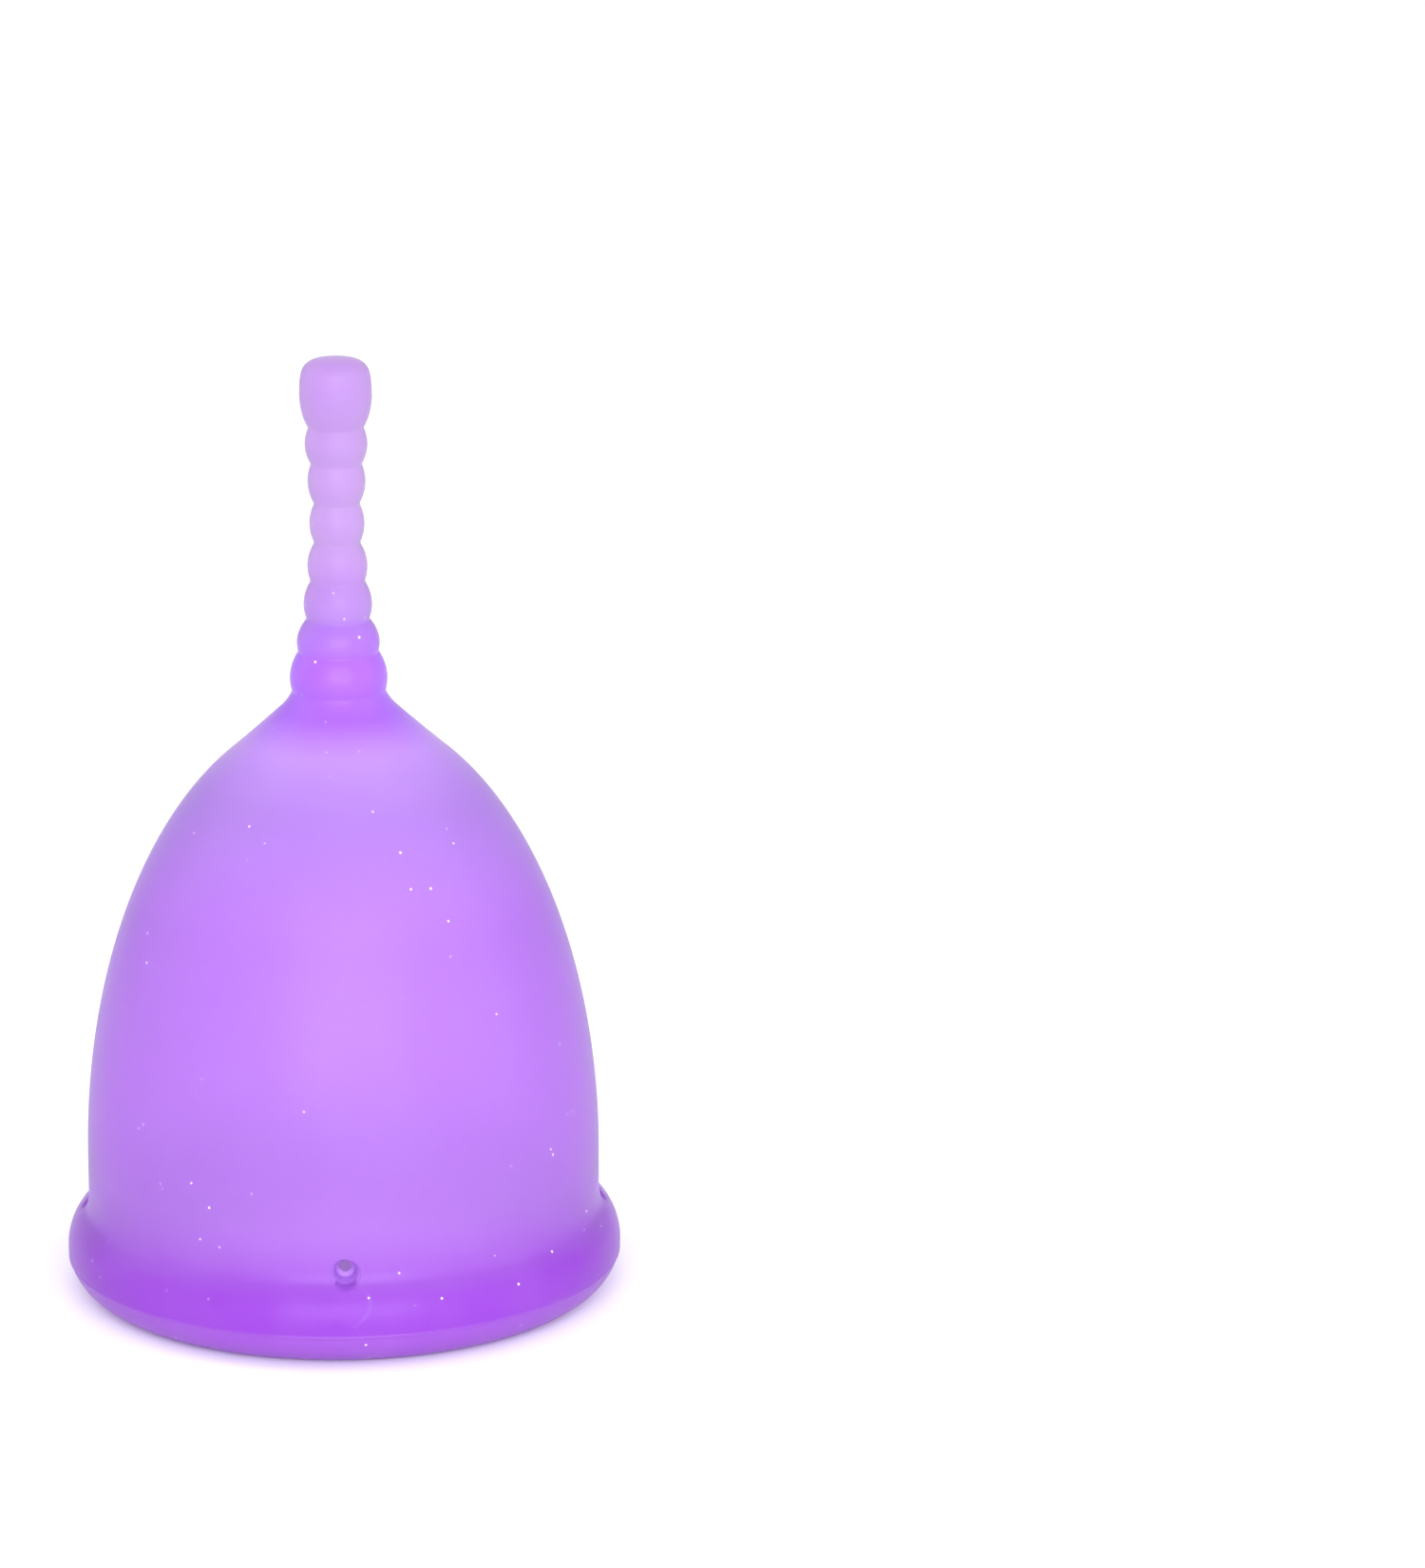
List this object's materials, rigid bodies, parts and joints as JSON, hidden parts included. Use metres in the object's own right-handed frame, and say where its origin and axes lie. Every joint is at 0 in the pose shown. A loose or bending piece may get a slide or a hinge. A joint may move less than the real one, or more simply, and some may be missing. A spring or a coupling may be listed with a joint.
{
  "type": "menstrual cup",
  "caption": "Bell-shaped soft silicone cup with a rolled rim, small tapered vent holes above it and a flexible ringed pull stem.",
  "frame": {"origin": "centre of the circle that the rim stands on, mouth down", "axes": "+Z is the bell's axis, from the mouth up to the tip of the stem; -Y passes through one vent hole, and the others follow at quarter turns"},
  "size_m": [0.045, 0.045, 0.0765],
  "materials": {
    "silicone": "satin"
  },
  "bodies": {
    "cup": {"rim_bead": "silicone", "vent_band": "silicone", "bell_wall": "silicone", "base_dome": "silicone", "stem_root": "silicone"},
    "stem_ring_1": {"stem_ring_1": "silicone"},
    "stem_ring_2": {"stem_ring_2": "silicone"},
    "stem_ring_3": {"stem_ring_3": "silicone"},
    "stem_ring_4": {"stem_ring_4": "silicone"},
    "stem_ring_5": {"stem_ring_5": "silicone"},
    "stem_ring_6": {"stem_ring_6": "silicone"},
    "stem_ring_7": {"stem_ring_7": "silicone"},
    "stem_tip": {"stem_tip": "silicone"}
  },
  "joints": [
    {"name": "root_bend", "type": "hinge", "parent": "cup", "child": "stem_ring_1", "pos_m": [0, 0, 0.04955], "axis": [0, 1, 0], "range_deg": [-9, 9], "stiffness_Nm_per_rad": 0.045},
    {"name": "groove_2_bend", "type": "hinge", "parent": "stem_ring_1", "child": "stem_ring_2", "pos_m": [0, 0, 0.05275], "axis": [1, 0, 0], "range_deg": [-9, 9], "stiffness_Nm_per_rad": 0.03},
    {"name": "groove_3_bend", "type": "hinge", "parent": "stem_ring_2", "child": "stem_ring_3", "pos_m": [0, 0, 0.0554], "axis": [0, 1, 0], "range_deg": [-18, 18], "stiffness_Nm_per_rad": 0.018},
    {"name": "groove_4_bend", "type": "hinge", "parent": "stem_ring_3", "child": "stem_ring_4", "pos_m": [0, 0, 0.05848], "axis": [1, 0, 0], "range_deg": [-27, 27], "stiffness_Nm_per_rad": 0.009},
    {"name": "groove_5_bend", "type": "hinge", "parent": "stem_ring_4", "child": "stem_ring_5", "pos_m": [0, 0, 0.0616], "axis": [0, 1, 0], "range_deg": [-31.5, 31.5], "stiffness_Nm_per_rad": 0.005},
    {"name": "groove_6_bend", "type": "hinge", "parent": "stem_ring_5", "child": "stem_ring_6", "pos_m": [0, 0, 0.06475], "axis": [1, 0, 0], "range_deg": [-31.5, 31.5], "stiffness_Nm_per_rad": 0.005},
    {"name": "groove_7_bend", "type": "hinge", "parent": "stem_ring_6", "child": "stem_ring_7", "pos_m": [0, 0, 0.06795], "axis": [0, 1, 0], "range_deg": [-31.5, 31.5], "stiffness_Nm_per_rad": 0.006},
    {"name": "groove_8_bend", "type": "hinge", "parent": "stem_ring_7", "child": "stem_tip", "pos_m": [0, 0, 0.0709], "axis": [1, 0, 0], "range_deg": [-22.5, 22.5], "stiffness_Nm_per_rad": 0.009}
  ],
  "couplings": [
    {"joint": "groove_3_bend", "follows": "root_bend", "ratio": 2},
    {"joint": "groove_4_bend", "follows": "groove_2_bend", "ratio": 3},
    {"joint": "groove_5_bend", "follows": "root_bend", "ratio": 3.5},
    {"joint": "groove_6_bend", "follows": "groove_2_bend", "ratio": 3.5},
    {"joint": "groove_7_bend", "follows": "root_bend", "ratio": 3.5},
    {"joint": "groove_8_bend", "follows": "groove_2_bend", "ratio": 2.5}
  ]
}
